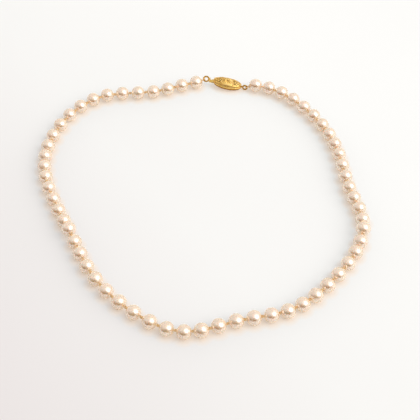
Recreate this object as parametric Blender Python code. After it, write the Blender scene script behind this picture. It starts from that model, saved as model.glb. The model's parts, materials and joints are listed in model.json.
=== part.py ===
"""A knotted pearl necklace lying flat in a loose loop, with a domed filigree fish-hook clasp.

Metres, +Z up. The origin is the centre of the necklace's footprint, at the level it rests on.
"""

import math

import bmesh
import bpy
from mathutils import Matrix, Vector

MM = 0.001

# ---- the strand (millimetres) ----
PEARL_COUNT = 61
PEARL_RADIUS = 3.15
PEARL_BANDS = 7
SEGMENTS = 12
KNOT_RADIUS = 0.58
KNOT_CLEARANCE = 0.1
NECK_RADIUS = 0.42
# The thread's line seen from above: a smooth curve drawn towards these whole-millimetre points,
# three pearls to each. It starts at the hook's side of the clasp and runs round the loop.
THREAD_LINE = (
    (20, 84), (-8, 83), (-26, 72), (-50, 75), (-67, 59), (-75, 36), (-74, 18), (-65, -4), (-57, -20),
    (-48, -42), (-31, -59), (-10, -72), (10, -61), (32, -60), (48, -45), (62, -27), (67, -8), (60, 10),
    (59, 32), (53, 51), (40, 70), (23, 82), (-3, 75),
)
PEARLS_PER_POINT = 3
# Neighbours never sit closer than a pearl and a hard knot.
LEAST_PITCH = 6.5
SETTLING_SWEEPS = 60
# In the two tightest curves the stiff thread holds one pearl up off the surface.
RAISED_PEARLS = (21, 45)
RAISED_BY = 1.2
# Every fifth pearl shares its solid with the next one, and the loop opens after this pearl.
COUPLE_EVERY = 5
LAST_PEARL_OF_HOOK_SIDE = 31

# ---- the clasp (millimetres), u along it from its mouth, v across, w up from the seam ----
CLASP_YAW = math.radians(-11.0)
CLASP_PITCH = math.radians(7.0)
CLASP_HEIGHT = 2.6
CLASP_OFFSET = (0.75, 0.8)
HALF_LENGTH = 7.3
HALF_WIDTH = 3.2
WALL = 0.4
RIM_HALF_HEIGHT = 0.35
RIM_WALL = 0.55
SEAM_GAP = 0.05
TOP_HEIGHT = 1.7
BACK_HEIGHT = 1.8
BACK_FLAT_ANGLE = math.radians(58.0)
# A cover's side stands the steeper, the smaller its power: 1 is a plain ellipse.
TOP_POWER = 1.0
BACK_POWER = 0.5
COVER_INSET = 0.15
MOUTH_HALF_WIDTH = 1.2
MOUTH_LOW = -0.97
MOUTH_HIGH = 0.5
MOUTH_END = -5.2

# ---- the rings: each ring's radius, its centre's u and the distance to its end pearl's centre ----
RING_WIRE = 0.3
HOOK_RING = (1.25, -10.4, 5.25)
END_RING = (1.0, 8.65, 5.5)
LOOP_RADIUS = 0.55
LOOP_THREAD = 0.2
LOOP_REACH = LOOP_RADIUS + LOOP_THREAD

# ---- the hook: a tongue with an upright thumb plate, and a leaf folded back over it ----
BAR_CENTRE = (-4.6, 0.7)
BAR_RADIUS = 0.22
BAR_HALF_LENGTH = 1.5
TONGUE_HALF_WIDTH = 0.95
TONGUE_LOW = -0.85
TONGUE_HIGH = -0.55
THUMB_THICKNESS = 0.4
THUMB_TOP = 0.45
FOLD = (2.5, -0.35)
FOLD_REACH = 0.3
FOLD_LOW = -0.47
FOLD_SHOULDER = -0.2
TONGUE_TIP = 0.45
LEAF_HALF_WIDTH = 0.85
LEAF_LOW = -0.35
LEAF_HIGH = -0.1
LEAF_END = -7.65
CATCH = (-4.25, -3.75)
CATCH_TOP = 0.35
CATCH_SHOULDER = 0.1

# ---- finishes: name, base colour, metallic, roughness ----
PEARL = ("cultured_pearl", (0.90, 0.82, 0.74, 1.0), 0.0, 0.22)
SILK = ("silk_thread", (0.80, 0.66, 0.50, 1.0), 0.0, 0.70)
GOLD = ("yellow_gold", (0.83, 0.58, 0.20, 1.0), 1.0, 0.22)


def clear_scene():
    for obj in list(bpy.data.objects):
        bpy.data.objects.remove(obj, do_unlink=True)


def finish(name, spec):
    """A material of its own for one piece, from a finish's colour, metallic and roughness."""
    material = bpy.data.materials.new(name + "_" + spec[0])
    material.use_nodes = True
    shader = material.node_tree.nodes["Principled BSDF"]
    shader.inputs["Base Color"].default_value = spec[1]
    shader.inputs["Metallic"].default_value = spec[2]
    shader.inputs["Roughness"].default_value = spec[3]
    return material


def frame_at(origin, forward, up=Vector((0, 0, 1))):
    """A frame at a point, with X along forward and Z as near up as it can be."""
    x = forward.normalized()
    y = up.cross(x).normalized()
    z = x.cross(y)
    matrix = Matrix((x, y, z)).transposed().to_4x4()
    matrix.translation = origin
    return matrix


def add_piece(name, points, faces, frame, spec, smooth=True):
    """An object whose origin is frame's, from a mesh given in world millimetres."""
    into = frame.inverted()
    mesh = bpy.data.meshes.new(name)
    mesh.from_pydata([(into @ Vector(p)) * MM for p in points], [], faces)
    mesh.validate()
    obj = bpy.data.objects.new(name, mesh)
    bpy.context.scene.collection.objects.link(obj)
    placed = frame.copy()
    placed.translation = frame.translation * MM
    obj.matrix_world = placed
    mesh.materials.append(finish(name, spec))
    for polygon in mesh.polygons:
        polygon.use_smooth = smooth
    return obj


def outward(points, faces):
    """The same closed mesh with every face turned to look outwards."""
    work = bmesh.new()
    verts = [work.verts.new(p) for p in points]
    for face in faces:
        work.faces.new([verts[i] for i in face])
    bmesh.ops.recalc_face_normals(work, faces=work.faces)
    if work.calc_volume(signed=True) < 0:
        bmesh.ops.reverse_faces(work, faces=work.faces)
    work.verts.index_update()
    result = [v.co.copy() for v in work.verts], [[v.index for v in f.verts] for f in work.faces]
    work.free()
    return result


# ---------------------------------------------------------------- generic shapes

def skin(rings, closed_ring=False):
    """Faces over a row of equal rings of points; single points at the ends close it."""
    points = []
    starts = []
    for ring in rings:
        starts.append(len(points))
        points.extend(ring)
    faces = []
    pairs = list(zip(range(len(rings) - 1), range(1, len(rings))))
    if closed_ring:
        pairs.append((len(rings) - 1, 0))
    for a, b in pairs:
        count = max(len(rings[a]), len(rings[b]))
        for i in range(count):
            j = (i + 1) % count
            if len(rings[a]) == 1:
                faces.append([starts[a], starts[b] + j, starts[b] + i])
            elif len(rings[b]) == 1:
                faces.append([starts[a] + i, starts[a] + j, starts[b]])
            else:
                faces.append([starts[a] + i, starts[a] + j, starts[b] + j, starts[b] + i])
    return outward(points, faces)


def circle(centre, axis, radius, segments=SEGMENTS):
    """Points round a circle; a radius of zero gives the centre alone."""
    if radius == 0:
        return [centre.copy()]
    side = axis.cross(Vector((0, 0, 1))).normalized()
    up = side.cross(axis)
    turns = [2 * math.pi * i / segments for i in range(segments)]
    return [centre + (side * math.cos(t) + up * math.sin(t)) * radius for t in turns]


def torus(centre, axis, major, minor, around=20, across=8):
    """A closed round wire ring."""
    side = axis.orthogonal().normalized()
    other = axis.cross(side).normalized()
    rings = []
    for i in range(around):
        angle = 2 * math.pi * i / around
        out = side * math.cos(angle) + other * math.sin(angle)
        ring = []
        for j in range(across):
            turn = 2 * math.pi * j / across
            ring.append(centre + out * (major + minor * math.cos(turn)) + axis * (minor * math.sin(turn)))
        rings.append(ring)
    return skin(rings, closed_ring=True)


def slab(outline, half_width, frame):
    """A strip with this (u, w) side outline, as wide as twice half_width across v."""
    count = len(outline)
    points = []
    for v in (-half_width, half_width):
        points.extend(frame @ Vector((u, v, w)) for u, w in outline)
    faces = [list(range(count)), list(range(2 * count - 1, count - 1, -1))]
    for i in range(count):
        j = (i + 1) % count
        faces.append([i, j, j + count, i + count])
    return outward(points, faces)


# ---------------------------------------------------------------- the strand

def line_point(step):
    """The thread's line at a pearl's step, by a uniform cubic B-spline."""
    whole = min(step // PEARLS_PER_POINT, len(THREAD_LINE) - 4)
    t = step / PEARLS_PER_POINT - whole
    weights = (
        (1 - t) ** 3,
        3 * t ** 3 - 6 * t * t + 4,
        -3 * t ** 3 + 3 * t * t + 3 * t + 1,
        t ** 3,
    )
    near = THREAD_LINE[whole:whole + 4]
    x = sum(w * p[0] for w, p in zip(weights, near)) / 6
    y = sum(w * p[1] for w, p in zip(weights, near)) / 6
    return Vector((x, y, PEARL_RADIUS))


def settle(centres):
    """Raises the pearls that the thread holds up, then parts neighbours that sit too close."""
    for number in RAISED_PEARLS:
        centres[number - 1].z += RAISED_BY
    for _ in range(SETTLING_SWEEPS):
        for i in range(len(centres) - 1):
            along = centres[i + 1] - centres[i]
            lack = LEAST_PITCH - along.length
            if lack > 0:
                along.z = 0
                push = along.normalized() * lack / 2
                centres[i] = centres[i] - push
                centres[i + 1] = centres[i + 1] + push


def clasp_frame(centres):
    """The clasp's frame: between the two end pearls, yawed, with its mouth tilted up."""
    middle = (centres[0] + centres[-1]) / 2
    frame = Matrix.Rotation(CLASP_YAW, 4, "Z") @ Matrix.Rotation(CLASP_PITCH, 4, "Y")
    frame.translation = (middle.x + CLASP_OFFSET[0], middle.y + CLASP_OFFSET[1], CLASP_HEIGHT)
    return frame


def pull_end_pearl(centres, index, frame, ring):
    """Sets an end pearl at its distance from its ring, and gives the way the thread pulls there."""
    ring_centre = frame @ Vector((ring[1], 0, 0))
    away = (centres[index] - ring_centre).normalized()
    centres[index] = ring_centre + away * ring[2]
    return away


def pearl_rings(centre, came, goes, knot_before, knot_after):
    """Rings over one pearl, whose poles look back along came and on along goes.

    knot_before and knot_after give the distance from the pearl's skin to each knot's far side,
    or None where there is no knot of this pearl's own.
    """
    rings = []
    if knot_before:
        rings.append(circle(centre - came * (PEARL_RADIUS + knot_before), came, 0))
        rings.append(circle(centre - came * (PEARL_RADIUS + knot_before / 2), came, NECK_RADIUS))
    else:
        rings.append(circle(centre - came * PEARL_RADIUS, came, 0))
    for band in range(1, PEARL_BANDS):
        share = band / PEARL_BANDS
        height = math.sin(math.pi * (share - 0.5)) * PEARL_RADIUS
        radius = math.cos(math.pi * (share - 0.5)) * PEARL_RADIUS
        axis = came.lerp(goes, share).normalized()
        rings.append(circle(centre + axis * height, axis, radius))
    if knot_after:
        neck = math.sqrt(PEARL_RADIUS ** 2 - NECK_RADIUS ** 2)
        middle = PEARL_RADIUS + (knot_after + KNOT_CLEARANCE) / 2
        rings.append(circle(centre + goes * neck, goes, NECK_RADIUS))
        rings.append(circle(centre + goes * middle, goes, KNOT_RADIUS))
    return rings


def strand_groups():
    """The pearls of each solid, from the clasp outwards, for the hook's side and the ring's side."""
    groups = []
    number = 1
    while number <= PEARL_COUNT:
        size = 2 if number % COUPLE_EVERY == 0 and number < PEARL_COUNT - 1 else 1
        groups.append(list(range(number, number + size)))
        number += size
    hook_side = [g for g in groups if g[0] <= LAST_PEARL_OF_HOOK_SIDE]
    ring_side = [g[::-1] for g in groups if g[0] > LAST_PEARL_OF_HOOK_SIDE]
    return hook_side, ring_side[::-1]


def group_name(group):
    first, last = min(group), max(group)
    if first == last:
        return f"pearl_{first:02d}"
    return f"pearls_{first:02d}_{last:02d}"


def end_gap(centres):
    """The gap at the front, where the loop is opened."""
    a = centres[LAST_PEARL_OF_HOOK_SIDE - 1]
    b = centres[LAST_PEARL_OF_HOOK_SIDE]
    return (b - a).length - 2 * PEARL_RADIUS


def half_strand(groups, centres, anchor):
    """The pearls of one half from the clasp outwards: number, place, way in and gap before each."""
    order = [number for group in groups for number in group]
    links = []
    before = anchor
    clear = LOOP_REACH
    for number in order:
        place = centres[number - 1]
        reach = (place - before).length
        links.append((number, place, (place - before).normalized(), reach - clear - PEARL_RADIUS))
        before = place
        clear = PEARL_RADIUS
    return links


def knot_or_join(place, goes, gap, knot, joined):
    """The last ring after a pearl: a knot's far end, a bare pole, or the neck into the next pearl."""
    if joined:
        neck = PEARL_RADIUS - math.sqrt(PEARL_RADIUS ** 2 - NECK_RADIUS ** 2)
        return circle(place + goes * (PEARL_RADIUS + gap + neck), goes, NECK_RADIUS)
    return circle(place + goes * (PEARL_RADIUS + (knot or 0.0)), goes, 0)


def build_side(groups, centres, anchor):
    """One half of the strand, as a chain of solids hinged at the knots, starting at anchor."""
    links = half_strand(groups, centres, anchor)
    step = 0
    for group in groups:
        _, place, way, gap = links[step]
        back = gap - KNOT_CLEARANCE / 2 if step == 0 else gap / 2
        frame = frame_at(place - way * (PEARL_RADIUS + back), way)
        rings = []
        for number in group:
            _, place, way, gap = links[step]
            last = step == len(links) - 1
            goes = way if last else links[step + 1][2]
            gap_after = end_gap(centres) if last else links[step + 1][3]
            bare = last and number != LAST_PEARL_OF_HOOK_SIDE
            knot_before = gap - KNOT_CLEARANCE if step == 0 else None
            knot_after = None if bare else gap_after - KNOT_CLEARANCE
            made = pearl_rings(place, way, goes, knot_before, knot_after)
            rings.extend(made[1:] if rings else made)
            rings.append(knot_or_join(place, goes, gap_after, knot_after, number != group[-1]))
            step += 1
        add_piece(group_name(group), *skin(rings), frame, PEARL)


# ---------------------------------------------------------------- the clasp

def oval(frame, scale_u, scale_v, w, segments=28):
    turns = [2 * math.pi * i / segments for i in range(segments)]
    return [frame @ Vector((scale_u * math.cos(t), scale_v * math.sin(t), w)) for t in turns]


def cover_shell(frame, side, height, power, flat_angle=None):
    """A thin oval dome; side is 1 for the top cover and -1 for the back."""
    base = side * (RIM_HALF_HEIGHT + SEAM_GAP)
    long, wide = HALF_LENGTH - COVER_INSET, HALF_WIDTH - COVER_INSET
    bands = 5
    last_angle = flat_angle or math.pi / 2
    depth = height * math.sin(last_angle)
    rings = []
    for band in range(bands + (1 if flat_angle else 0)):
        angle = last_angle * band / bands
        shrink = math.cos(angle) ** power
        rings.append(oval(frame, long * shrink, wide * shrink, base + side * height * math.sin(angle)))
    rings.append([frame @ Vector((0, 0, base + side * depth))])
    inner = []
    for band in range(bands):
        angle = math.pi / 2 * band / bands
        shrink = math.cos(angle) ** power
        lift = side * (depth - WALL) * math.sin(angle)
        inner.append(oval(frame, (long - WALL) * shrink, (wide - WALL) * shrink, base + lift))
    inner.append([frame @ Vector((0, 0, base + side * (depth - WALL)))])
    return skin(inner[::-1] + rings)


def rim_band(frame):
    """The plain oval band between the covers."""
    low, high = -RIM_HALF_HEIGHT, RIM_HALF_HEIGHT
    soft = 0.1
    section = (
        (RIM_WALL, low), (soft, low), (0.0, low + soft), (0.0, high - soft), (soft, high), (RIM_WALL, high),
    )
    rings = [oval(frame, HALF_LENGTH - inset, HALF_WIDTH - inset, w, 36) for inset, w in section]
    return skin(rings, closed_ring=True)


def piercings():
    """Centres, half-sizes and turns of the holes in the top cover's filigree."""
    holes = []
    for i in range(6):
        turn = math.pi * i / 3
        holes.append((1.35 * math.cos(turn), 1.1 * math.sin(turn), 0.42, 0.26, turn))
    for u in (-1, 1):
        for v in (-1, 1):
            holes.append((3.3 * u, 1.05 * v, 0.75, 0.36, -0.3 * u * v))
        holes.append((4.9 * u, 0.0, 0.5, 0.3, 0.0))
    return holes


def add_cutter(name, prisms, frame):
    """One hidden object made of upright prisms, each given as an outline and its two levels."""
    points = []
    faces = []
    for outline, low, high in prisms:
        start = len(points)
        count = len(outline)
        prism = [frame @ Vector((u, v, w)) for w in (low, high) for u, v in outline]
        local = [list(range(count)), list(range(2 * count - 1, count - 1, -1))]
        for i in range(count):
            j = (i + 1) % count
            local.append([i, j, j + count, i + count])
        prism, local = outward(prism, local)
        points.extend(prism)
        faces.extend([[index + start for index in face] for face in local])
    obj = add_piece(name, points, faces, frame, GOLD, smooth=False)
    obj.hide_render = True
    obj.display_type = "WIRE"
    return obj


def cut(obj, cutter):
    modifier = obj.modifiers.new("cut_" + cutter.name, "BOOLEAN")
    modifier.operation = "DIFFERENCE"
    modifier.solver = "EXACT"
    modifier.object = cutter


def filigree_cutter(frame):
    prisms = []
    corners = 8
    for u, v, long, wide, turn in piercings():
        outline = []
        for i in range(corners):
            angle = 2 * math.pi * (i + 0.5) / corners
            x, y = long * math.cos(angle), wide * math.sin(angle)
            outline.append((u + x * math.cos(turn) - y * math.sin(turn),
                            v + x * math.sin(turn) + y * math.cos(turn)))
        prisms.append((outline, 0.6, TOP_HEIGHT + 1.5))
    return add_cutter("filigree_cutter", prisms, frame)


def mouth_cutter(frame):
    outline = [(-HALF_LENGTH - 1.0, -MOUTH_HALF_WIDTH), (MOUTH_END, -MOUTH_HALF_WIDTH),
               (MOUTH_END, MOUTH_HALF_WIDTH), (-HALF_LENGTH - 1.0, MOUTH_HALF_WIDTH)]
    return add_cutter("mouth_cutter", [(outline, MOUTH_LOW, MOUTH_HIGH)], frame)


def build_shell(frame):
    """The fixed part of the clasp: two covers, the band between them and the crossbar."""
    mouth = mouth_cutter(frame)
    top = add_piece("clasp_top_cover", *cover_shell(frame, 1, TOP_HEIGHT, TOP_POWER), frame, GOLD)
    cut(top, filigree_cutter(frame))
    bowl = cover_shell(frame, -1, BACK_HEIGHT, BACK_POWER, BACK_FLAT_ANGLE)
    back = add_piece("clasp_back_cover", *bowl, frame, GOLD)
    band = add_piece("clasp_rim_band", *rim_band(frame), frame, GOLD)
    for obj in (top, back, band):
        cut(obj, mouth)
    across = (frame.to_3x3() @ Vector((0, 1, 0))).normalized()
    middle = frame @ Vector((BAR_CENTRE[0], 0, BAR_CENTRE[1]))
    ends = [middle - across * BAR_HALF_LENGTH, middle + across * BAR_HALF_LENGTH]
    rings = [circle(ends[0], across, 0), circle(ends[0], across, BAR_RADIUS)]
    rings += [circle(ends[1], across, BAR_RADIUS), circle(ends[1], across, 0)]
    add_piece("clasp_crossbar", *skin(rings), frame, GOLD)


def build_hook(frame):
    """The hook: a flat tongue with an upright thumb plate, and the spring leaf folded back over it."""
    neck = HOOK_RING[1] + HOOK_RING[0] + RING_WIRE
    tip = FOLD[0] + TONGUE_TIP
    tongue = [
        (neck, TONGUE_LOW), (tip, TONGUE_LOW), (tip, TONGUE_HIGH), (neck + THUMB_THICKNESS, TONGUE_HIGH),
        (neck + THUMB_THICKNESS, THUMB_TOP), (neck + SEAM_GAP, THUMB_TOP), (neck + SEAM_GAP, TONGUE_HIGH),
        (neck, TONGUE_HIGH),
    ]
    add_piece("hook_tongue", *slab(tongue, TONGUE_HALF_WIDTH, frame), frame, GOLD, smooth=False)
    front, back = FOLD[0] + FOLD_REACH, FOLD[0] - FOLD_REACH
    leaf = [
        (front, FOLD_LOW), (front, FOLD_SHOULDER), (FOLD[0], LEAF_HIGH), (CATCH[1], LEAF_HIGH),
        (CATCH[1], CATCH_SHOULDER), (CATCH[0], CATCH_TOP), (CATCH[0], LEAF_HIGH), (LEAF_END, LEAF_HIGH),
        (LEAF_END, LEAF_LOW), (back, LEAF_LOW),
    ]
    origin = frame.copy()
    origin.translation = frame @ Vector((FOLD[0], 0, FOLD[1]))
    add_piece("hook_spring_leaf", *slab(leaf, LEAF_HALF_WIDTH, frame), origin, GOLD, smooth=False)


def build_ring(name, frame, ring, away):
    """A soldered wire ring lying in the plane of the clasp's axis and the thread's pull."""
    centre = frame @ Vector((ring[1], 0, 0))
    along = frame.to_3x3() @ Vector((1, 0, 0))
    axis = along.cross(away)
    if axis.z < 0:
        axis.negate()
    axis.normalize()
    add_piece(name, *torus(centre, axis, ring[0], RING_WIRE), frame, GOLD)
    return axis


def build_loop(name, frame, ring, away, ring_axis):
    """The thread's loop round a ring's wire, on the side where the thread pulls."""
    wire = frame @ Vector((ring[1], 0, 0)) + away * ring[0]
    tangent = ring_axis.cross(away).normalized()
    origin = frame_at(wire, away, ring_axis)
    add_piece(name, *torus(wire, tangent, LOOP_RADIUS, LOOP_THREAD, 14, 6), origin, SILK)
    return wire


def centre_on_origin():
    """Moves the whole necklace so that its box's bottom centre is the origin."""
    bpy.context.view_layer.update()
    graph = bpy.context.evaluated_depsgraph_get()
    low = Vector((1e9, 1e9, 1e9))
    high = -low
    for obj in bpy.data.objects:
        if obj.hide_render:
            continue
        evaluated = obj.evaluated_get(graph)
        mesh = evaluated.to_mesh()
        for vertex in mesh.vertices:
            at = evaluated.matrix_world @ vertex.co
            low = Vector(map(min, low, at))
            high = Vector(map(max, high, at))
        evaluated.to_mesh_clear()
    shift = Vector(((low.x + high.x) / 2, (low.y + high.y) / 2, low.z))
    for obj in bpy.data.objects:
        obj.location -= shift


def main():
    clear_scene()
    centres = [line_point(step) for step in range(PEARL_COUNT)]
    settle(centres)
    frame = clasp_frame(centres)
    build_shell(frame)
    build_hook(frame)
    for side, ring, index in (("hook", HOOK_RING, 0), ("ring", END_RING, -1)):
        away = pull_end_pearl(centres, index, frame, ring)
        ring_name = "hook_ring" if side == "hook" else "clasp_end_ring"
        axis = build_ring(ring_name, frame, ring, away)
        wire = build_loop(f"thread_loop_{side}_side", frame, ring, away, axis)
        groups = strand_groups()[0 if side == "hook" else 1]
        build_side(groups, centres, wire)
    centre_on_origin()


main()
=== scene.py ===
"""The looks of the pearl necklace, built on the CAD frame: 61 pearls, silk knots and a filigree clasp."""

import json
import math
import random

import bmesh
import bpy
import numpy as np
from mathutils import Matrix, Vector, noise

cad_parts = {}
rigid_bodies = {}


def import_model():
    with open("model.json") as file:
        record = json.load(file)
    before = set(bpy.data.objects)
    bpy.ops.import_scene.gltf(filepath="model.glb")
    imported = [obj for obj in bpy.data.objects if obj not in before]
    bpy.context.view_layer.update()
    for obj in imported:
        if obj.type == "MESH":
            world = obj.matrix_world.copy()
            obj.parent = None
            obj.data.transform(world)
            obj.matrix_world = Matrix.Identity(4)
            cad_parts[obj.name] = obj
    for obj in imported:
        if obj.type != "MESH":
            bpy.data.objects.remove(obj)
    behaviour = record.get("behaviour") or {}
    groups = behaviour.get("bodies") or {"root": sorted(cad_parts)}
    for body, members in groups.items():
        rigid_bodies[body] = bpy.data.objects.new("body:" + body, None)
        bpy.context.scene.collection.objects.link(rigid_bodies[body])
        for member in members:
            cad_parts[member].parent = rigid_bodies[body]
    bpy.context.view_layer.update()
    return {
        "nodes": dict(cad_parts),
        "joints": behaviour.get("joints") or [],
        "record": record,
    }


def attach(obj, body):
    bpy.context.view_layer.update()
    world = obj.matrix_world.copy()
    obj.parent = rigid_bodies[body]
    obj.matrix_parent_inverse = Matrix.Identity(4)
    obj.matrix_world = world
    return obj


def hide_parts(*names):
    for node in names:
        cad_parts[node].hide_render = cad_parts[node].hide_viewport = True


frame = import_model()

MM = 0.001
RNG = random.Random(61)

# ---- pearls (metres) ----
PEARL_RADIUS = 3.15 * MM
PEARL_SMALLEST = 0.978  # the smallest pearl, as a share of PEARL_RADIUS
PEARL_STRETCH = 0.012  # how much longer or shorter than round a pearl may be along its thread
PEARL_AROUND = 40
PEARL_ALONG = 28
OFF_ROUND = 0.010  # how far the skin swells and sinks, as a share of the radius
SWELL_SCALE = 1.1  # swells to a radius
SWELL_SINK = 0.3  # how far the whole skin is sunk, as a share of OFF_ROUND
DRILL_RADIUS = 0.42 * MM
DRILL_DEPTH = 0.30 * MM

# ---- silk (metres) ----
THREAD_RADIUS = 0.17 * MM
THREAD_REACH = 0.8  # how deep the thread runs into a drilled dimple, as a share of its depth
THREAD_POINTS = 14
KNOT_RADIUS = 0.72 * MM
KNOT_LENGTH = 1.1 * MM
KNOT_PRESS = 0.06 * MM  # how much longer than its gap a knot may be
TIGHT_GAP = 0.35 * MM  # under this gap a knot is drawn down to TIGHT_KNOT of its size
TIGHT_KNOT = 0.6
KNOT_SIZES = (0.94, 1.04)  # the least and the greatest share of KNOT_RADIUS
LOOP_REACH = 0.9 * MM  # from a loop's pivot to where the end thread leaves it
# twist is in radians over the whole path; ply is how far the two strands stand out, as a share of the radius
KNOT_TWIST = 40.0
KNOT_PLY = 0.10
THREAD_TWIST = 20.0
THREAD_PLY = 0.15
LOOP_TWIST = 2 * math.pi * 5
LOOP_PLY = 0.12

# ---- clasp (metres, in its own frame: u along, v across, w up from the seam) ----
BAND_HALF_HEIGHT = 0.35 * MM
BAND_WALL = 0.55 * MM
BAND_SOFTNESS = 0.16 * MM
SEAM = 0.05 * MM
COVER_INSET = 0.15 * MM
COVER_WALL = 0.32 * MM
TOP_HEIGHT = 1.7 * MM
BACK_HEIGHT = 1.8 * MM
BACK_FLAT = math.radians(58)  # the angle up the back dome at which its flat begins
TOP_POWER = 1.0
BACK_POWER = 0.5  # the back's sides stand steeper than the top's
MOUTH_HALF_WIDTH = 1.2 * MM
MOUTH_LOW = -0.97 * MM
MOUTH_HIGH = 0.5 * MM
MOUTH_END = -5.2 * MM
MOUTH_OVERCUT = 1.0 * MM
LIP_RADIUS = 0.2 * MM
LIP_LIFT = 0.12 * MM
LIP_OVERLAP = 0.25 * MM
LIP_INSET = 0.955
RING_THICKER = 1.3  # a shown ring's wire against the CAD ring's
SOLDER_SIZES = (0.34 * MM, 0.5 * MM, 0.3 * MM)  # half-sizes towards the clasp, along the ring and its axis

# ---- filigree (metres) ----
RIM_REACH = 0.985  # wires and grains stay inside this share of the dome's plan
SCROLL_RADIUS = 0.15 * MM
SCROLL_LIFT = 0.05 * MM
SCROLL_GRAIN = 0.22 * MM
ROSETTE_LONG = 2.55 * MM
ROSETTE_WIDE = 2.1 * MM
ROSETTE_GRAIN = 0.42 * MM
ROSETTE_BEADS = 24
ROSETTE_BEAD = 0.15 * MM
ROSETTE_BEADS_OUT = (0.28 * MM, 0.22 * MM)  # past the petals' tips, along and across
PETALS = 12
SHORT_PETAL = 0.94  # every other petal's reach
PETAL_ROOT = 0.16  # a petal's root and middle, as shares of the way to its tip
PETAL_MIDDLE = 0.62
PETAL_HALF = 0.46  # its half-length, as a share of root to tip
PETAL_WIDE = 0.36 * MM
PETAL_HIGH = 0.24 * MM
EDGE_BEADS = 66
EDGE_BEAD = 0.17 * MM
EDGE_BEADS_AT = (0.955, 0.94)  # shares of the dome's half-length and half-width
EDGE_BEADS_END = -6.2 * MM  # no beads over the mouth
PIERCING_LOW = 0.55 * MM  # no hole is cut below this height
PIERCING_PINCH = 0.35  # makes a hole drop-shaped
# the holes of one quarter: place along, place across, half-length, half-width (mm) and turn (radians)
PIERCINGS = (
    (3.6, 1.15, 0.62, 0.50, 0.2),
    (5.1, 0.62, 0.42, 0.38, 0.0),
    (3.2, 0.30, 0.22, 0.24, 0.0),
    (4.55, 1.55, 0.34, 0.18, -0.4),
    (2.75, 1.95, 0.34, 0.20, -0.2),
    (4.2, 0.24, 0.34, 0.18, 0.0),
    (5.95, 0.85, 0.26, 0.15, -0.6),
)
END_PIERCING = (6.15, 0.22, 0.16)  # the hole near each end: place along, half-length, half-width (mm)

# ---- colours (linear RGB; a ramp's colours stand with their places from 0 to 1) ----
NACRE_BODY = ((0.0, (0.85, 0.57, 0.325)), (0.35, (0.87, 0.60, 0.36)),
              (0.7, (0.86, 0.575, 0.355)), (1.0, (0.84, 0.55, 0.305)))
NACRE_CLOUD = (0.89, 0.63, 0.42)
NACRE_EDGE = (0.91, 0.61, 0.28)
NACRE_SKIN = ((0.0, (1.0, 0.985, 0.955)), (0.5, (1.0, 0.975, 0.96)), (1.0, (0.99, 0.985, 0.945)))
NACRE_SKIN_EDGE = (1.0, 0.95, 0.86)
SILK = ((0.3, (0.86, 0.50, 0.18)), (0.7, (0.95, 0.62, 0.28)))
SILK_STRIPE = (0.66, 0.34, 0.10)
GOLD = ((0.3, (0.76, 0.45, 0.09)), (0.55, (0.90, 0.60, 0.20)), (0.8, (0.97, 0.72, 0.34)))
GOLD_HOLLOW = (0.22, 0.085, 0.01)
TABLE = ((0.35, (0.93, 0.93, 0.925)), (0.7, (0.94, 0.94, 0.935)))
# painted shade: the table's colour darkens towards the front left, where the light falls off
TABLE_SHADE = ((0.0, (1.0, 1.0, 0.99)), (0.45, (0.955, 0.95, 0.94)), (1.0, (0.83, 0.785, 0.785)))
# painted light: the warm glow painted on the table by the pearls' feet, as if light passed through the nacre
TABLE_PAINTED_GLOW = (1.0, 0.79, 0.61)
ROOM_BRIGHT = (1.0, 0.995, 0.985)
ROOM_DIM = (0.13, 0.08, 0.05)
BACKDROP = (0.97, 0.965, 0.96)

# ---- surfaces (lengths in metres) ----
NACRE_MIRROR = 0.46  # the mirroring skin's share where the pearl faces the eye
NACRE_RIM = 0.58  # and its share at the pearl's rim
NACRE_GLOW_DEPTH = 0.003
HOLLOW_REACH = 0.4 * MM
PAINTED_GLOW_REACH = 3.2 * MM  # how far from the pearls' feet the painted glow reaches: warm light painted on the table, as if passed through the nacre

# ---- light: one room, by direction (+X to the right, +Y to the back, +Z up) ----
ROOM_STRENGTH = 0.82
BRIGHTER_WAY = (0.0, 0.731, 0.682)
BRIGHTER_GAIN = 1.4
# how bright the room is, between dim and bright, at each place across it from 0 at the left to 1 at the right
ROOM_ACROSS = ((0.05, 0.42), (0.26, 0.63), (0.4, 0.57), (0.5, 0.53), (0.85, 0.96))
SOFTBOX_WAY = (0.62, -0.27, 0.737)
SOFTBOX_GAIN = 1.7
SOFTBOX_EDGE = (0.83, 0.99)  # cosines of the angles from its middle between which it rises to full
GLOW_GAIN = 0.75
GLOW_EDGE = (0.6, 0.95)

# ---- camera (metres; lens and sensor in millimetres) ----
CAMERA_ELEVATION = math.radians(47)
CAMERA_DISTANCE = 0.486
CAMERA_LENS = 96.0
CAMERA_SENSOR = 36.0
AIM = Vector((0.00453, -0.0065, 0.0))


# ================================================================= materials

def node_adder(tree):
    """A helper that adds a node: _0 names an input by its place, a socket is linked, a value is set."""
    def add(kind, settings=None, **inputs):
        node = tree.nodes.new(kind)
        for key, value in (settings or {}).items():
            setattr(node, key, value)
        for key, value in inputs.items():
            socket = node.inputs[int(key[1:])] if key[0] == "_" else node.inputs[key]
            if isinstance(value, bpy.types.NodeSocket):
                tree.links.new(value, socket)
            else:
                socket.default_value = value
        return node

    return add


def node_material(name):
    """A node material, with its tree, its Principled shader and a helper that adds and links nodes."""
    material = bpy.data.materials.new(name)
    material.use_nodes = True
    tree = material.node_tree
    return material, tree, tree.nodes["Principled BSDF"], node_adder(tree)


def ramp(add, factor, stops):
    node = add("ShaderNodeValToRGB", _0=factor)
    elements = node.color_ramp.elements
    while len(elements) < len(stops):
        elements.new(0.5)
    for element, (position, colour) in zip(elements, stops):
        element.position = position
        element.color = (*colour, 1.0)
    return node.outputs["Color"]


def mix(add, factor, a, b, blend="MIX"):
    """The colours a and b mixed; each is a socket or three numbers."""
    a, b = (side if isinstance(side, bpy.types.NodeSocket) else (*side, 1.0) for side in (a, b))
    node = add("ShaderNodeMix", {"data_type": "RGBA", "blend_type": blend}, _0=factor, _6=a, _7=b)
    return node.outputs[2]


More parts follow.
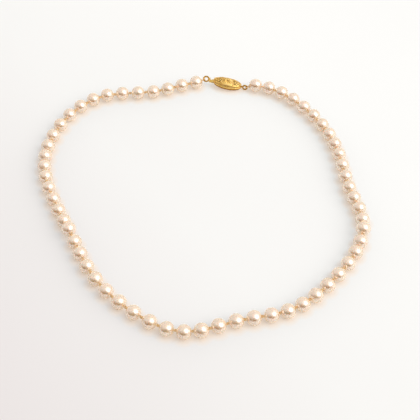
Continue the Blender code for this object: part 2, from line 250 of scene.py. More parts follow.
def remap(add, value, from_range, to_range, smooth=False):
    """value carried from one range to another, held at both ends."""
    settings = {"interpolation_type": "SMOOTHSTEP" if smooth else "LINEAR"}
    node = add("ShaderNodeMapRange", settings, _0=value, _1=from_range[0], _2=from_range[1],
               _3=to_range[0], _4=to_range[1])
    return node.outputs[0]


def times(add, a, b):
    return add("ShaderNodeMath", {"operation": "MULTIPLY"}, _0=a, _1=b).outputs[0]


def dot(add, a, b):
    return add("ShaderNodeVectorMath", {"operation": "DOT_PRODUCT"}, _0=a, _1=b).outputs["Value"]


def object_place(add):
    return add("ShaderNodeTexCoord").outputs["Object"]


def pearl_material():
    """Nacre: a warm, cloudy peach body under a bright mirroring skin, each pearl a little different."""
    material, tree, shader, add = node_material("nacre")
    own = add("ShaderNodeObjectInfo").outputs["Random"]
    shift = times(add, own, 37.0)
    place = add("ShaderNodeVectorMath", {"operation": "ADD"}, _0=object_place(add), _1=shift).outputs[0]
    clouds = add("ShaderNodeTexNoise", Vector=place, Scale=420.0, Detail=3.0, Roughness=0.55).outputs["Fac"]
    fine = add("ShaderNodeTexNoise", Vector=place, Scale=5200.0, Detail=2.0, Roughness=0.6).outputs["Fac"]
    facing = add("ShaderNodeLayerWeight", Blend=0.35).outputs["Facing"]

    body = ramp(add, own, NACRE_BODY)
    cloudy = mix(add, remap(add, clouds, (0.35, 0.7), (0.0, 0.35)), body, NACRE_CLOUD)
    deepened = mix(add, remap(add, facing, (0.3, 1.0), (0.0, 0.6)), cloudy, NACRE_EDGE)
    bump = add("ShaderNodeBump", Strength=0.05, Distance=0.00003, Height=fine).outputs[0]
    tree.links.new(deepened, shader.inputs["Base Color"])
    tree.links.new(bump, shader.inputs["Normal"])
    shader.inputs["Roughness"].default_value = 0.4
    shader.inputs["Subsurface Weight"].default_value = 0.7
    shader.inputs["Subsurface Radius"].default_value = (1.0, 0.8, 0.6)
    shader.inputs["Subsurface Scale"].default_value = NACRE_GLOW_DEPTH

    tint = mix(add, facing, ramp(add, own, NACRE_SKIN), NACRE_SKIN_EDGE)
    rough = remap(add, clouds, (0.3, 0.75), (0.19, 0.25))
    mirror = add("ShaderNodeBsdfGlossy", Color=tint, Roughness=rough, Normal=bump).outputs[0]
    share = remap(add, facing, (0.0, 1.0), (NACRE_MIRROR, NACRE_RIM))
    both = add("ShaderNodeMixShader", _0=share, _1=shader.outputs[0], _2=mirror).outputs[0]
    tree.links.new(both, tree.nodes["Material Output"].inputs["Surface"])
    return material


def silk_material():
    """Twisted silk: warm tan, matt, with the ply's fine stripes."""
    material, tree, shader, add = node_material("silk")
    place = object_place(add)
    strands = add("ShaderNodeTexWave", {"wave_type": "BANDS", "bands_direction": "DIAGONAL"}, Vector=place,
                  Scale=2400.0, Distortion=3.0, Detail=2.0).outputs["Fac"]
    tone = add("ShaderNodeTexNoise", Vector=place, Scale=1500.0, Detail=3.0).outputs["Fac"]
    striped = mix(add, times(add, strands, 0.3), ramp(add, tone, SILK), SILK_STRIPE)
    bump = add("ShaderNodeBump", Strength=0.5, Distance=0.00005, Height=strands).outputs[0]
    tree.links.new(striped, shader.inputs["Base Color"])
    tree.links.new(remap(add, tone, (0.0, 1.0), (0.55, 0.8)), shader.inputs["Roughness"])
    tree.links.new(bump, shader.inputs["Normal"])
    shader.inputs["Sheen Weight"].default_value = 0.3
    return material


def gold_material(name, polish, worn, darkened_by=(1.0, 1.0, 1.0)):
    """Yellow gold. polish is its mean roughness, worn its scratches and dark hollows; darkened_by scales its
    colours down.
    """
    material, tree, shader, add = node_material(name)
    place = object_place(add)
    tone = add("ShaderNodeTexNoise", Vector=place, Scale=700.0, Detail=4.0, Roughness=0.6).outputs["Fac"]
    scratch_space = add("ShaderNodeMapping", Vector=place, Scale=(1.0, 9.0, 4.0)).outputs[0]
    scratches = add("ShaderNodeTexNoise", Vector=scratch_space, Scale=3800.0, Detail=3.0).outputs["Fac"]
    shades = [(at, tuple(a * b for a, b in zip(shade, darkened_by))) for at, shade in GOLD]
    openness = add("ShaderNodeAmbientOcclusion", {"samples": 6}, Distance=HOLLOW_REACH).outputs["AO"]
    dark = times(add, remap(add, openness, (0.2, 0.65), (1.0, 0.0)), 0.9 * worn)
    aged = mix(add, dark, ramp(add, tone, shades), GOLD_HOLLOW)
    rough = remap(add, scratches, (0.3, 0.7), (polish * 0.7, polish * 1.4))
    bump = add("ShaderNodeBump", Strength=0.12 * worn, Distance=0.00004, Height=scratches).outputs[0]
    tree.links.new(aged, shader.inputs["Base Color"])
    tree.links.new(rough, shader.inputs["Roughness"])
    tree.links.new(bump, shader.inputs["Normal"])
    shader.inputs["Metallic"].default_value = 1.0
    return material


def floor_material():
    """A pale table top, faintly mottled, with painted shade darkening it towards the front left, away from
    the light, and a painted warm glow by the pearls' feet, as if light passed through the nacre.
    """
    material, tree, shader, add = node_material("pale_table")
    place = object_place(add)
    tone = add("ShaderNodeTexNoise", Vector=place, Scale=9.0, Detail=3.0).outputs["Fac"]
    to_front_left = dot(add, place, (-1.0, -0.7, 0.0))
    # painted shade: darker towards the front left, away from the light
    painted_shade = remap(add, to_front_left, (-0.1, 0.16), (0.0, 1.0))
    shaded = mix(add, 1.0, ramp(add, tone, TABLE), ramp(add, painted_shade, TABLE_SHADE), "MULTIPLY")
    # painted light: a warm glow painted where the table is near the pearls, standing for light let through
    # the nacre
    openness = add("ShaderNodeAmbientOcclusion", {"samples": 8}, Distance=PAINTED_GLOW_REACH).outputs["AO"]
    painted_glow = mix(add, remap(add, openness, (0.45, 1.0), (0.8, 0.0)), shaded, TABLE_PAINTED_GLOW)
    tree.links.new(painted_glow, shader.inputs["Base Color"])
    shader.inputs["Roughness"].default_value = 0.55
    shader.inputs["Specular IOR Level"].default_value = 0.25
    return material


# ================================================================= mesh helpers

def make_object(name, points, faces, material, smooth=True):
    mesh = bpy.data.meshes.new(name)
    mesh.from_pydata([tuple(p) for p in points], [], faces)
    work = bmesh.new()
    work.from_mesh(mesh)
    bmesh.ops.recalc_face_normals(work, faces=work.faces)
    work.to_mesh(mesh)
    work.free()
    for polygon in mesh.polygons:
        polygon.use_smooth = smooth
    obj = bpy.data.objects.new(name, mesh)
    bpy.context.scene.collection.objects.link(obj)
    mesh.materials.append(material)
    return obj


class Shape:
    """Points and faces gathered from several closed bodies, for one object."""

    def __init__(self):
        self.points = []
        self.faces = []

    def add(self, points, faces):
        start = len(self.points)
        self.points.extend(points)
        self.faces.extend([[i + start for i in face] for face in faces])


def turns(count, offset=0.0):
    """Equal steps of angle round a full turn."""
    return [2 * math.pi * (i + offset) / count for i in range(count)]


def skin(rings, closed=False):
    """Quads over a row of equal rings; single points at the ends close it."""
    points = [p for ring in rings for p in ring]
    starts = np.cumsum([0] + [len(ring) for ring in rings])
    pairs = list(zip(range(len(rings) - 1), range(1, len(rings))))
    if closed:
        pairs.append((len(rings) - 1, 0))
    faces = []
    for a, b in pairs:
        count = max(len(rings[a]), len(rings[b]))
        for i in range(count):
            j = (i + 1) % count
            first = [starts[a] + i, starts[a] + j] if len(rings[a]) > 1 else [starts[a]]
            second = [starts[b] + j, starts[b] + i] if len(rings[b]) > 1 else [starts[b]]
            faces.append([int(k) for k in first + second])
    return points, faces


def carried_frame(path, closed):
    """A path's tangents, its side vectors carried along without twist, and the slip where a loop closes."""
    count = len(path)
    tangents = []
    for i in range(count):
        before = path[i - 1] if i or closed else path[i]
        after = path[(i + 1) % count] if i + 1 < count or closed else path[i]
        tangents.append((after - before).normalized())
    first = tangents[0].orthogonal().normalized()
    sides = [first]
    for i in range(1, count):
        turned = tangents[i - 1].rotation_difference(tangents[i]) @ sides[-1]
        turned = (turned - tangents[i] * turned.dot(tangents[i])).normalized()
        sides.append(turned)
    slip = 0.0
    if closed:
        end = tangents[-1].rotation_difference(tangents[0]) @ sides[-1]
        slip = math.atan2(end.cross(first).dot(tangents[0]), end.dot(first))
    return tangents, sides, slip


def tube(path, radius, around, closed=False, twist=0.0, ply=0.0):
    """A round tube along a path, with one radius or a list. ply and twist make it two twisted strands."""
    count = len(path)
    radii = radius if isinstance(radius, list) else [radius] * count
    tangents, sides, slip = carried_frame(path, closed)
    rings = []
    for i in range(count):
        across = tangents[i].cross(sides[i])
        ring = []
        for j in range(around):
            angle = 2 * math.pi * j / around + slip * i / count
            swell = 1 + ply * math.cos(2 * (angle - twist * i / count))
            spoke = sides[i] * math.cos(angle) + across * math.sin(angle)
            ring.append(path[i] + spoke * radii[i] * swell)
        rings.append(ring)
    if closed:
        return skin(rings, closed=True)
    return skin([[path[0]]] + rings + [[path[-1]]])


def circle_path(centre, axis, radius, count, start=None):
    side = (start or axis.orthogonal()).normalized()
    other = axis.cross(side).normalized()
    return [centre + (side * math.cos(t) + other * math.sin(t)) * radius for t in turns(count)]


def ball(centre, radii, axes, around=14, along=8):
    """An ellipsoid with these half-sizes along three axes."""
    rings = []
    for i in range(along + 1):
        lean = math.pi * i / along
        foot = centre + axes[2] * (radii[2] * math.cos(lean))
        if i in (0, along):
            rings.append([foot])
            continue
        ring = []
        for turn in turns(around):
            ring.append(foot + axes[0] * (radii[0] * math.sin(lean) * math.cos(turn))
                        + axes[1] * (radii[1] * math.sin(lean) * math.sin(turn)))
        rings.append(ring)
    return skin(rings)


def node_points(node):
    """A CAD node's points as an array, in metres."""
    return np.array([v.co for v in frame["nodes"][node].data.vertices])


# ================================================================= the strand

def fitted_centre(points):
    """The centre of the sphere that these points lie on, by least squares."""
    left = np.column_stack([2 * points, np.ones(len(points))])
    solved = np.linalg.lstsq(left, (points ** 2).sum(1), rcond=None)[0]
    return Vector(solved[:3])


def node_centres(node, count):
    """Centres of the one or two pearls in a CAD node, from the points well clear of its knots."""
    points = node_points(node)
    middle = (points[:, 2].min() + points[:, 2].max()) / 2
    clear = points[np.abs(points[:, 2] - middle) > 0.4 * PEARL_RADIUS]
    if count == 1:
        return [fitted_centre(clear)]
    flat = clear[:, :2] - clear[:, :2].mean(0)
    along = np.linalg.svd(flat, full_matrices=False)[2][0]
    side = flat @ along > 0
    return [fitted_centre(clear[side]), fitted_centre(clear[~side])]


def read_strand():
    """Each pearl's centre and body by number, from the CAD nodes' names and shapes."""
    centres = {}
    bodies = {}
    pairs = {}
    for node in sorted(frame["nodes"]):
        kind, *labels = node.split("_")
        if kind not in ("pearl", "pearls"):
            continue
        numbers = [int(label) for label in labels]
        found = node_centres(node, len(numbers))
        bodies.update({number: node for number in numbers})
        if len(numbers) == 1:
            centres[numbers[0]] = found[0]
        else:
            pairs[tuple(numbers)] = found
    for (first, second), found in pairs.items():
        before = centres[first - 1]
        centres[first], centres[second] = sorted(found, key=lambda c: (c - before).length)
    return centres, bodies


def build_pearl(number, centre, before, after, body, material):
    """One nearly round pearl, drilled along the thread. Its CAD body and that body's node share a name."""
    axis = ((centre - before).normalized() + (after - centre).normalized()).normalized()
    side = axis.cross(Vector((0, 0, 1))).normalized()
    up = side.cross(axis)
    size = PEARL_RADIUS * RNG.uniform(PEARL_SMALLEST, 1.0)
    seed = Vector([RNG.uniform(-50, 50) for _ in range(3)])
    stretch = 1 + RNG.uniform(-PEARL_STRETCH, PEARL_STRETCH)
    rings = []
    for i in range(PEARL_ALONG + 1):
        lean = math.pi * i / PEARL_ALONG
        ring = []
        for turn in turns(PEARL_AROUND):
            out = (side * math.cos(turn) + up * math.sin(turn)) * math.sin(lean)
            way = out + axis * (-math.cos(lean) * stretch)
            radius = size * (1 + OFF_ROUND * (noise.noise(way * SWELL_SCALE + seed) - SWELL_SINK))
            off_axis = math.sin(lean) * radius
            dip = DRILL_DEPTH * math.exp(-(off_axis / DRILL_RADIUS) ** 4)
            ring.append(way * (radius - dip))
        rings.append(ring[:1] if i in (0, PEARL_ALONG) else ring)
    obj = make_object(f"pearl_{number:02d}_nacre", *skin(rings), material)
    obj.location = centre
    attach(obj, body)
    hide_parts(body)


def trefoil(scale_out, scale_along, count=72):
    """A closed trefoil knot's path round the X axis, as a tied knot's windings."""
    path = []
    for t in turns(count):
        y = math.sin(t) + 2 * math.sin(2 * t)
        z = math.cos(t) - 2 * math.cos(2 * t)
        path.append(Vector((-math.sin(3 * t) * scale_along, y * scale_out / 3, z * scale_out / 3)))
    return path


def build_knot(name, start, end, body, material):
    """The silk between two pearls' skins: the thread, and the knot tied on it."""
    gap = (end - start).length
    way = (end - start).normalized()
    middle = (start + end) / 2
    side = way.orthogonal().normalized()
    turn = Matrix((way, side, way.cross(side))).transposed() @ Matrix.Rotation(RNG.uniform(0, 6.28), 3, "X")
    length = min(KNOT_LENGTH, gap + KNOT_PRESS)
    outer = KNOT_RADIUS * (TIGHT_KNOT if gap < TIGHT_GAP else RNG.uniform(*KNOT_SIZES))
    radius = min(THREAD_RADIUS, 0.3 * length)
    windings = [middle + turn @ p for p in trefoil(outer - radius, max(length / 2 - radius, 0.02 * MM))]
    reach = gap / 2 + DRILL_DEPTH * THREAD_REACH
    line = [middle + way * (reach * (2 * i / (THREAD_POINTS - 1) - 1)) for i in range(THREAD_POINTS)]
    shape = Shape()
    shape.add(*tube(windings, radius, around=10, closed=True, twist=KNOT_TWIST, ply=KNOT_PLY))
    shape.add(*tube(line, THREAD_RADIUS, around=10, twist=THREAD_TWIST, ply=THREAD_PLY))
    obj = make_object(name, shape.points, shape.faces, material)
    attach(obj, body)


def build_strand(pearl_look, silk_look):
    """Every pearl, and the knot before and after it, from the hook's side round to the ring's side."""
    centres, bodies = read_strand()
    last = len(centres)
    pivots = {j["name"]: Vector(j["pos_m"]) for j in frame["joints"] if j["type"] == "hinge"}
    ends = {0: pivots["clasp_loop_hook_side_lift"], last + 1: pivots["clasp_loop_ring_side_lift"]}
    places = {**centres, **ends}
    hook_side_last = max(n for n in bodies if bodies[n] == "pearls_30_31")
    for number in range(1, last + 1):
        before, centre, after = (places[number + step] for step in (-1, 0, 1))
        build_pearl(number, centre, before, after, bodies[number], pearl_look)
    for number in range(0, last + 1):
        a, b = places[number], places[number + 1]
        way = (b - a).normalized()
        start = a + way * (LOOP_REACH if number == 0 else PEARL_RADIUS)
        end = b - way * (LOOP_REACH if number == last else PEARL_RADIUS)
        owner = number if 1 <= number <= hook_side_last else number + 1
        body = bodies[min(owner, last)]
        build_knot(f"knot_{number:02d}", start, end, body, silk_look)


# ================================================================= the clasp

def clasp_axes():
    """The clasp's own frame and half-sizes, read from the record's mount and slide and two CAD nodes."""
    mount = next(m for m in frame["record"]["mounts"] if m["name"] == "clasp_back_flat")
    slide = next(j for j in frame["joints"] if j["name"] == "clasp_hook_slide")
    w = -Vector(mount["axis"]).normalized()
    u = -Vector(slide["axis"]).normalized()
    u = (u - w * u.dot(w)).normalized()
    v = w.cross(u)
    turn = np.array([u, v, w])
    cover = node_points("clasp_top_cover") @ turn.T
    low, high = cover.min(0), cover.max(0)
    middle = (low + high) / 2
    middle[2] = low[2] - BAND_HALF_HEIGHT - SEAM
    band = node_points("clasp_rim_band") @ turn.T
    half = [float(x) for x in (band.max(0) - band.min(0)) / 2]
    matrix = Matrix((u, v, w)).transposed().to_4x4()
    matrix.translation = Vector(middle @ turn)
    return matrix, half


def ride_gold(obj, body, *nodes):
    """A gold piece on a body, standing for these CAD nodes."""
    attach(obj, body)
    if nodes:
        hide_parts(*nodes)


def ellipse_ring(matrix, long, wide, w, count=96):
    return [matrix @ Vector((long * math.cos(t), wide * math.sin(t), w)) for t in turns(count)]


def boolean_cut(obj, cutter):
    """Cuts a mesh now, so that the piece keeps plain geometry."""
    modifier = obj.modifiers.new("cut", "BOOLEAN")
    modifier.operation = "DIFFERENCE"
    modifier.solver = "EXACT"
    modifier.object = cutter
    bpy.context.view_layer.update()
    graph = bpy.context.evaluated_depsgraph_get()
    mesh = bpy.data.meshes.new_from_object(obj.evaluated_get(graph))
    obj.modifiers.clear()
    obj.data = mesh


def prism(matrix, outline, low, high):
    """A closed prism on an outline of (u, v) pairs."""
    rings = [[matrix @ Vector((u, v, w)) for u, v in outline] for w in (low, high)]
    bottom, top = (sum(ring, Vector()) / len(outline) for ring in rings)
    return skin([[bottom]] + rings + [[top]])


def mouth_box(matrix, half):
    """The opening that the hook slides through."""
    out = -half[0] - MOUTH_OVERCUT
    outline = [(out, -MOUTH_HALF_WIDTH), (MOUTH_END, -MOUTH_HALF_WIDTH),
               (MOUTH_END, MOUTH_HALF_WIDTH), (out, MOUTH_HALF_WIDTH)]
    return prism(matrix, outline, MOUTH_LOW, MOUTH_HIGH)


def dome_rings(matrix, long, wide, base, height, limit, power, bands=14):
    """A dome's rings from its base up to the angle limit. A smaller power makes its side stand steeper."""
    rings = []
    for band in range(bands + 1):
        angle = limit * band / bands
        shrink = max(math.cos(angle), 0.0) ** power
        if shrink < 1e-6:
            rings.append([matrix @ Vector((0, 0, base + height))])
        else:
            rings.append(ellipse_ring(matrix, long * shrink, wide * shrink, base + height * math.sin(angle)))
    return rings


def dome_cover(matrix, half, side, height, power, limit=math.pi / 2):
    """A thin dome; side is 1 for the top and -1 for the back. Below a full limit its crown is cut flat."""
    base = side * (BAND_HALF_HEIGHT + SEAM)
    long, wide = half[0] - COVER_INSET, half[1] - COVER_INSET
    depth = height * math.sin(limit)
    outer = dome_rings(matrix, long, wide, base, side * height, limit, power)
    if limit < math.pi / 2 - 1e-6:
        outer.append([matrix @ Vector((0, 0, base + side * depth))])
    inner = dome_rings(matrix, long - COVER_WALL, wide - COVER_WALL, base, side * (depth - COVER_WALL),
                       math.pi / 2, power)
    return skin(inner[::-1] + outer)


class Dome:
    """The top cover's outer surface, for laying wires and grains on it."""

    def __init__(self, matrix, half):
        self.matrix = matrix
        self.long = half[0] - COVER_INSET
        self.wide = half[1] - COVER_INSET
        self.base = BAND_HALF_HEIGHT + SEAM

    def reach(self, u, v):
        return (u / self.long) ** 2 + (v / self.wide) ** 2

    def height_and_normal(self, u, v, reach):
        height = TOP_HEIGHT * math.sqrt(1 - reach)
        normal = Vector((u / self.long ** 2, v / self.wide ** 2, height / TOP_HEIGHT ** 2)).normalized()
        return height, normal

    def at(self, u, v, lift=0.0):
        """The point over (u, v), lifted off the surface. One past the rim is drawn back inside it."""
        reach = self.reach(u, v)
        if reach > RIM_REACH:
            shrink = math.sqrt(RIM_REACH / reach)
            u, v, reach = u * shrink, v * shrink, RIM_REACH
        height, normal = self.height_and_normal(u, v, reach)
        return self.matrix @ (Vector((u, v, self.base + height)) + normal * lift)

    def up(self, u, v):
        """The surface's outward direction over (u, v)."""
        normal = self.height_and_normal(u, v, min(self.reach(u, v), RIM_REACH))[1]
        return (self.matrix.to_3x3() @ normal).normalized()


def spiral(centre, start_radius, end_radius, start, windings, count, squash):
    """A flat scroll's path as (u, v) pairs."""
    path = []
    for i in range(count):
        share = i / (count - 1)
        radius = start_radius + (end_radius - start_radius) * share ** 0.8
        angle = start + 2 * math.pi * windings * share
        path.append((centre[0] + radius * math.cos(angle), centre[1] + radius * math.sin(angle) * squash))
    return path


def scrolls():
    """The filigree's wires on one quarter, as (u, v) paths in metres; the others are its mirror images."""
    return [
        spiral((3.6 * MM, 1.15 * MM), 0.18 * MM, 0.84 * MM, 0.4, 1.45, 30, 0.85),
        spiral((5.1 * MM, 0.62 * MM), 0.12 * MM, 0.62 * MM, 2.6, -1.35, 24, 0.85),
        spiral((2.75 * MM, 2.0 * MM), 0.10 * MM, 0.42 * MM, -0.6, 1.2, 20, 0.8),
        spiral((6.15 * MM, 0.28 * MM), 0.06 * MM, 0.34 * MM, 3.4, 1.1, 16, 0.8),
    ]


def petals():
    """The tips of the rosette's petals round the middle of the dome."""
    found = []
    for i, turn in enumerate(turns(PETALS, 0.5)):
        reach = 1.0 if i % 2 else SHORT_PETAL
        found.append((ROSETTE_LONG * reach * math.cos(turn), ROSETTE_WIDE * reach * math.sin(turn)))
    return found


def piercings():
    """The openwork's holes as (u, v, half-length, half-width, turn), in metres."""
    holes = []
    for mirror_u in (-1, 1):
        for mirror_v in (-1, 1):
            for u, v, long, wide, turn in PIERCINGS:
                turn *= mirror_u * mirror_v
                holes.append((u * mirror_u * MM, v * mirror_v * MM, long * MM, wide * MM, turn))
        u, long, wide = END_PIERCING
        holes.append((u * mirror_u * MM, 0.0, long * MM, wide * MM, 0.0))
    return holes


def piercing_outline(u, v, long, wide, turn):
    outline = []
    for angle in turns(16):
        pinch = 1 - PIERCING_PINCH * max(0.0, math.cos(angle)) ** 2
        x, y = long * math.cos(angle), wide * math.sin(angle) * pinch
        along = u + x * math.cos(turn) - y * math.sin(turn)
        across = v + x * math.sin(turn) + y * math.cos(turn)
        outline.append((along, across))
    return outline


def build_openwork(matrix, half, gold, mouth):
    """The top cover: a pierced dome."""
    cover = make_object("clasp_openwork_dome", *dome_cover(matrix, half, 1, TOP_HEIGHT, TOP_POWER), gold)
    cutters = Shape()
    for hole in piercings():
        cutters.add(*prism(matrix, piercing_outline(*hole), PIERCING_LOW, TOP_HEIGHT + 2 * MM))
    holes = make_object("holes", cutters.points, cutters.faces, gold)
    boolean_cut(cover, holes)
    boolean_cut(cover, mouth)
    bpy.data.objects.remove(holes)
    ride_gold(cover, "clasp_shell", "clasp_top_cover")


def grain(dome, u, v, radius, around=10, along=6):
    """A small ball of gold sunk a little into the dome."""
    up = dome.up(u, v)
    side = up.orthogonal().normalized()
    centre = dome.at(u, v, radius * 0.35)
    return ball(centre, (radius, radius, radius), (side, up.cross(side), up), around, along)


def build_scrolls(dome, gold):
    """Scrolled wires soldered on the dome, thickest halfway along, each with a grain at its heart."""
    wires = Shape()
    for path in scrolls():
        swells = [0.75 + 0.25 * math.sin(math.pi * i / (len(path) - 1)) for i in range(len(path))]
        taper = [SCROLL_RADIUS * swell for swell in swells]
        for mirror_u in (-1, 1):
            for mirror_v in (-1, 1):
                line = [dome.at(u * mirror_u, v * mirror_v, SCROLL_LIFT) for u, v in path]
                wires.add(*tube(line, taper, around=8))
                heart_u, heart_v = path[0]
                wires.add(*grain(dome, heart_u * mirror_u, heart_v * mirror_v, SCROLL_GRAIN))
    ride_gold(make_object("clasp_scroll_wires", wires.points, wires.faces, gold), "clasp_shell")


def build_rosette(dome, gold):
    """A flower in the middle of the dome: a grain, its petals and a ring of beads."""
    rosette = Shape()
    rosette.add(*grain(dome, 0.0, 0.0, ROSETTE_GRAIN))
    for u, v in petals():
        tip, root = dome.at(u, v), dome.at(u * PETAL_ROOT, v * PETAL_ROOT)
        u, v = u * PETAL_MIDDLE, v * PETAL_MIDDLE
        up = dome.up(u, v)
        out = (tip - root).normalized()
        out = (out - up * out.dot(up)).normalized()
        sizes = ((tip - root).length * PETAL_HALF, PETAL_WIDE, PETAL_HIGH)
        rosette.add(*ball(dome.at(u, v), sizes, (out, up.cross(out), up), around=16, along=10))
    for turn in turns(ROSETTE_BEADS):
        u = (ROSETTE_LONG + ROSETTE_BEADS_OUT[0]) * math.cos(turn)
        v = (ROSETTE_WIDE + ROSETTE_BEADS_OUT[1]) * math.sin(turn)
        rosette.add(*grain(dome, u, v, ROSETTE_BEAD))
    ride_gold(make_object("clasp_rosette", rosette.points, rosette.faces, gold), "clasp_shell")


def build_beaded_edge(dome, gold):
    """A row of beads round the dome's edge, open over the mouth."""
    edge = Shape()
    for turn in turns(EDGE_BEADS):
        u = math.cos(turn) * dome.long * EDGE_BEADS_AT[0]
        v = math.sin(turn) * dome.wide * EDGE_BEADS_AT[1]
        if u >= EDGE_BEADS_END:
            edge.add(*grain(dome, u, v, EDGE_BEAD, around=8, along=5))
    ride_gold(make_object("clasp_beaded_edge", edge.points, edge.faces, gold), "clasp_shell")


def build_mouth_lip(dome, gold):
    """The raised wire that arches over the mouth."""
    path = []
    for i in range(17):
        share = 2 * i / 16 - 1
        v = share * (MOUTH_HALF_WIDTH + LIP_OVERLAP)
        u = -dome.long * math.sqrt(max(0.0, 1 - (v / dome.wide) ** 2)) * LIP_INSET
        path.append(dome.at(u, v, LIP_LIFT))
    ride_gold(make_object("clasp_mouth_lip", *tube(path, LIP_RADIUS, around=10), gold), "clasp_shell")


def build_band(matrix, half, gold, mouth):
    """The plain polished band between the covers, with softly rounded edges."""
    low, high, soft = -BAND_HALF_HEIGHT, BAND_HALF_HEIGHT, BAND_SOFTNESS
    quarter = [math.pi / 2 * i / 4 for i in range(5)]
    section = [(BAND_WALL, low)]
    section += [(soft * (1 - math.sin(angle)), low + soft * (1 - math.cos(angle))) for angle in quarter]
    section += [(soft * (1 - math.cos(angle)), high - soft * (1 - math.sin(angle))) for angle in quarter]
    section += [(BAND_WALL, high)]
    rings = [ellipse_ring(matrix, half[0] - inset, half[1] - inset, w, 120) for inset, w in section]
    band = make_object("clasp_polished_band", *skin(rings, closed=True), gold)
    boolean_cut(band, mouth)
    ride_gold(band, "clasp_shell", "clasp_rim_band")


def build_back(matrix, half, gold, mouth):
    """The plain back cover, with a flat at its foot."""
    bowl = dome_cover(matrix, half, -1, BACK_HEIGHT, BACK_POWER, BACK_FLAT)
    cover = make_object("clasp_back_dome", *bowl, gold)
    boolean_cut(cover, mouth)
    ride_gold(cover, "clasp_shell", "clasp_back_cover")


def torus_of(node):
    """The centre, axis, ring radius and wire radius of a CAD node that is a round wire ring."""
    points = node_points(node)
    middle = points.mean(0)
    axis = np.linalg.svd(points - middle, full_matrices=False)[2][2]
    reach = np.linalg.norm(points - middle, axis=1)
    wire = float(reach.max() - reach.min()) / 2
    return Vector(middle), Vector(axis), float(reach.max()) - wire, wire


def build_ring(name, node, body, gold, weld_from):
    """A wire ring in the CAD ring's place, with the small mound of solder that holds it."""
    centre, axis, radius, wire = torus_of(node)
    wire *= RING_THICKER
    toward = weld_from - centre
    toward = (toward - axis * toward.dot(axis)).normalized()
    shape = Shape()
    shape.add(*tube(circle_path(centre, axis, radius, 56, toward), wire, around=14, closed=True))
    mound = centre + toward * (radius + wire * 0.9)
    shape.add(*ball(mound, SOLDER_SIZES, (toward, axis.cross(toward), axis)))
    ride_gold(make_object(name, shape.points, shape.faces, gold), body, node)


def build_loop(name, node, body, silk):
    """The thread's two turns round a ring, of twisted silk."""
    centre, axis, radius, wire = torus_of(node)
    shape = Shape()
    for shift in (-0.7 * wire, 0.7 * wire):
        path = circle_path(centre + axis * shift, axis, radius, 40)
        shape.add(*tube(path, wire * 0.8, around=10, closed=True, twist=LOOP_TWIST, ply=LOOP_PLY))
    obj = make_object(name, shape.points, shape.faces, silk)
    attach(obj, body)
    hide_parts(node)


def dress_cad_node(node, material, bevel):
    """Keeps a CAD node, with a finish of its own and softened edges."""
    obj = frame["nodes"][node]
    obj.data.materials.clear()
    obj.data.materials.append(material)
    modifier = obj.modifiers.new("softened_edges", "BEVEL")
    modifier.width = bevel
    modifier.segments = 2
    modifier.limit_method = "ANGLE"
    for polygon in obj.data.polygons:
        polygon.use_smooth = False


def build_clasp(silk):
    bright = gold_material("bright_gold", polish=0.14, worn=0.5)
    aged = gold_material("filigree_gold", polish=0.22, worn=1.0)
    # painted shade: a darkened copy of the gold for the back cover, whose underside lies in shade and mirrors
    # the shaded table under it
    painted_shade = gold_material("painted_shade_gold", polish=0.3, worn=1.0, darkened_by=(0.44, 0.30, 0.09))
    # a darker copy of the gold, for the rings' wire
    wire = gold_material("wire_gold", polish=0.14, worn=0.8, darkened_by=(0.60, 0.50, 0.28))
    matrix, half = clasp_axes()
    mouth = make_object("mouth", *mouth_box(matrix, half), bright)
    build_openwork(matrix, half, aged, mouth)
    build_band(matrix, half, bright, mouth)
    build_back(matrix, half, painted_shade, mouth)
    bpy.data.objects.remove(mouth)
    dome = Dome(matrix, half)
    build_scrolls(dome, aged)
    build_rosette(dome, aged)
    build_beaded_edge(dome, aged)
    build_mouth_lip(dome, bright)
    middle = matrix.translation
    build_ring("clasp_ring_wire", "clasp_end_ring", "clasp_shell", wire, middle)
    build_ring("hook_ring_wire", "hook_ring", "hook", wire, middle)
    build_loop("silk_loop_hook_side", "thread_loop_hook_side", "loop_hook_side", silk)
    build_loop("silk_loop_ring_side", "thread_loop_ring_side", "loop_ring_side", silk)
    dress_cad_node("hook_tongue", bright, 0.06 * MM)
    dress_cad_node("hook_spring_leaf", bright, 0.05 * MM)
    dress_cad_node("clasp_crossbar", bright, 0.04 * MM)


# ================================================================= stage

def build_stage():
    corners = [(-3, -3, 0), (3, -3, 0), (3, 3, 0), (-3, 3, 0)]
    floor = make_object("table_top", corners, [[0, 1, 2, 3]], floor_material(), smooth=False)


def soften_shadows():
    """Leaves the necklace out of the table's indirect light, because nacre's own shadows are light."""
    for obj in bpy.context.scene.objects:
        if obj.type == "MESH" and obj.name != "table_top":
            obj.visible_diffuse = False


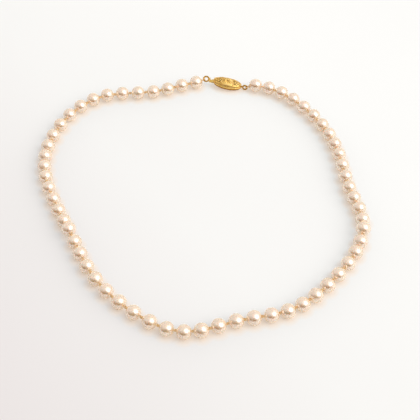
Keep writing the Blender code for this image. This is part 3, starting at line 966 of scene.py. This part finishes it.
def build_world():
    """The room: pale above and behind, dim brown in front, with a round softbox at the upper right."""
    world = bpy.data.worlds.new("studio")
    bpy.context.scene.world = world
    world.use_nodes = True
    tree = world.node_tree
    add = node_adder(tree)
    way = add("ShaderNodeTexCoord").outputs["Generated"]
    split = add("ShaderNodeSeparateXYZ", _0=way).outputs
    across = remap(add, split["X"], (-1.0, 1.0), (0.0, 1.0))
    side = ramp(add, across, [(at, (share, share, share)) for at, share in ROOM_ACROSS])
    openness = add("ShaderNodeMath", {"operation": "MULTIPLY_ADD", "use_clamp": True},
                   _0=dot(add, way, BRIGHTER_WAY), _1=BRIGHTER_GAIN, _2=side).outputs[0]
    room = mix(add, openness, ROOM_DIM, ROOM_BRIGHT)

    toward = dot(add, way, SOFTBOX_WAY)
    glow = remap(add, toward, GLOW_EDGE, (1.0, 1.0 + GLOW_GAIN))
    glowing = add("ShaderNodeVectorMath", {"operation": "SCALE"}, _0=room, Scale=glow).outputs[0]
    softbox = times(add, remap(add, toward, SOFTBOX_EDGE, (0.0, 1.0), smooth=True), SOFTBOX_GAIN)
    lit = add("ShaderNodeVectorMath", {"operation": "ADD"}, _0=glowing, _1=softbox).outputs[0]

    seen = add("ShaderNodeLightPath").outputs["Is Camera Ray"]
    background = tree.nodes["Background"]
    tree.links.new(mix(add, seen, lit, BACKDROP), background.inputs["Color"])
    background.inputs["Strength"].default_value = ROOM_STRENGTH


def build_camera():
    data = bpy.data.cameras.new("camera")
    data.lens = CAMERA_LENS
    data.sensor_width = CAMERA_SENSOR
    data.clip_start = 0.01
    camera = bpy.data.objects.new("camera", data)
    bpy.context.scene.collection.objects.link(camera)
    back = Vector((0, -math.cos(CAMERA_ELEVATION), math.sin(CAMERA_ELEVATION)))
    camera.location = AIM + back * CAMERA_DISTANCE
    camera.rotation_euler = (-back).to_track_quat("-Z", "Y").to_euler()
    bpy.context.scene.camera = camera


silk_look = silk_material()
build_strand(pearl_material(), silk_look)
build_clasp(silk_look)
build_stage()
soften_shadows()
build_world()
build_camera()
bpy.context.scene.view_settings.view_transform = "Standard"
